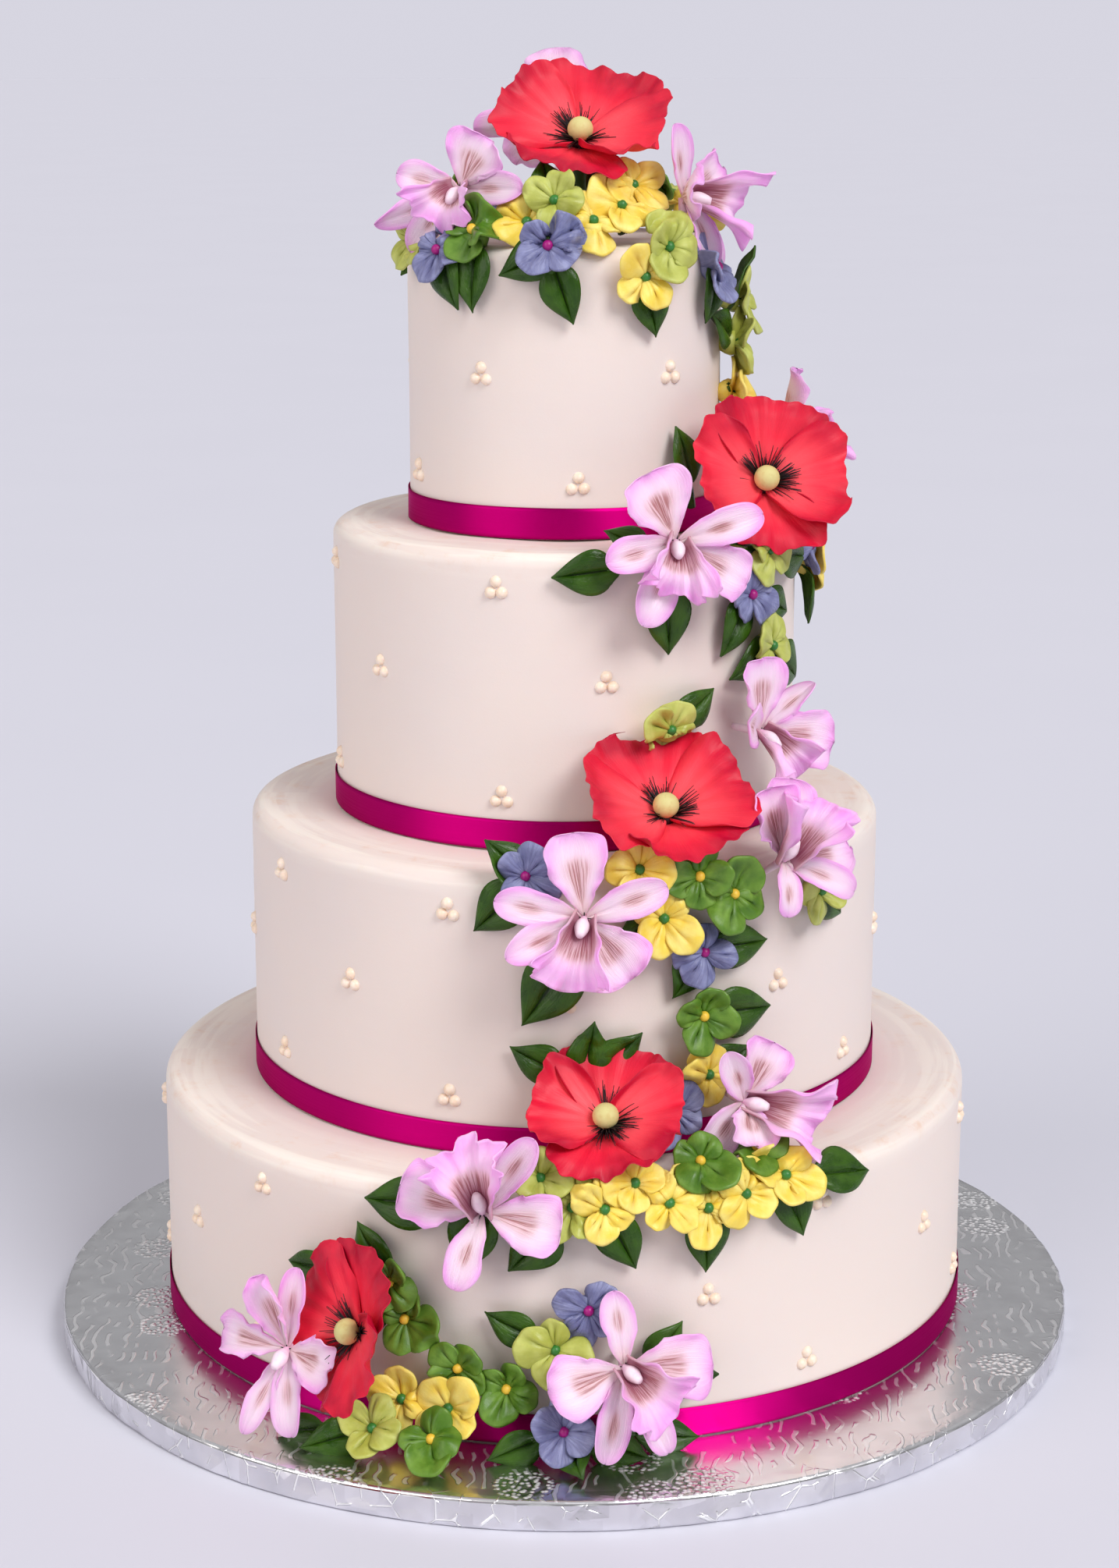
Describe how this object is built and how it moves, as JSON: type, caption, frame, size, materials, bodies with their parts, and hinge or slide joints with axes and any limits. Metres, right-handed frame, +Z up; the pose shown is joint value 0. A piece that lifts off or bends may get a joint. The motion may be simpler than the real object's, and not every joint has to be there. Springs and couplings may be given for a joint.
{
  "type": "wedding cake",
  "caption": "Four tier round wedding cake on a foil board, iced in ivory with magenta ribbons, sugar pearls and a fall of poppies, orchids and blossoms.",
  "frame": {"origin": "centre of the board's underside, at the bottom centre of the bounding box", "axes": "+Z up, -Y towards the side with the flowers, +X to the right seen from that side"},
  "size_m": [0.52, 0.52, 0.6378],
  "materials": {
    "foil": "embossed crinkled silver foil over board",
    "icing": "smooth matte icing",
    "ribbon": "satin",
    "poppy": "dusted sugar paste",
    "orchid": "dusted sugar paste",
    "spray": "sugar paste blossoms and glazed leaves"
  },
  "bodies": {
    "root": {"board": "foil", "tier_1": "icing", "tier_2": "icing", "tier_3": "icing", "tier_4": "icing", "ribbon_1": "ribbon", "ribbon_2": "ribbon", "ribbon_3": "ribbon", "ribbon_4": "ribbon", "poppy_1": "poppy", "poppy_2": "poppy", "poppy_3": "poppy", "poppy_4": "poppy", "poppy_5": "poppy", "orchid_1": "orchid", "orchid_2": "orchid", "orchid_3": "orchid", "orchid_4": "orchid", "orchid_5": "orchid", "orchid_6": "orchid", "orchid_7": "orchid", "orchid_8": "orchid", "orchid_9": "orchid", "orchid_10": "orchid", "orchid_11": "orchid", "orchid_12": "orchid", "spray_01": "spray", "spray_02": "spray", "spray_03": "spray", "spray_04": "spray", "spray_05": "spray", "spray_06": "spray", "spray_07": "spray", "spray_08": "spray", "spray_09": "spray", "spray_10": "spray", "spray_11": "spray", "spray_12": "spray", "spray_13": "spray", "spray_14": "spray", "spray_15": "spray", "spray_16": "spray", "spray_17": "spray", "spray_18": "spray", "spray_19": "spray", "spray_20": "spray", "spray_21": "spray", "spray_22": "spray", "spray_23": "spray", "spray_24": "spray", "spray_25": "spray", "spray_26": "spray", "spray_27": "spray", "spray_28": "spray", "spray_29": "spray", "spray_30": "spray", "spray_31": "spray", "spray_32": "spray", "spray_33": "spray", "spray_34": "spray"}
  },
  "joints": []
}
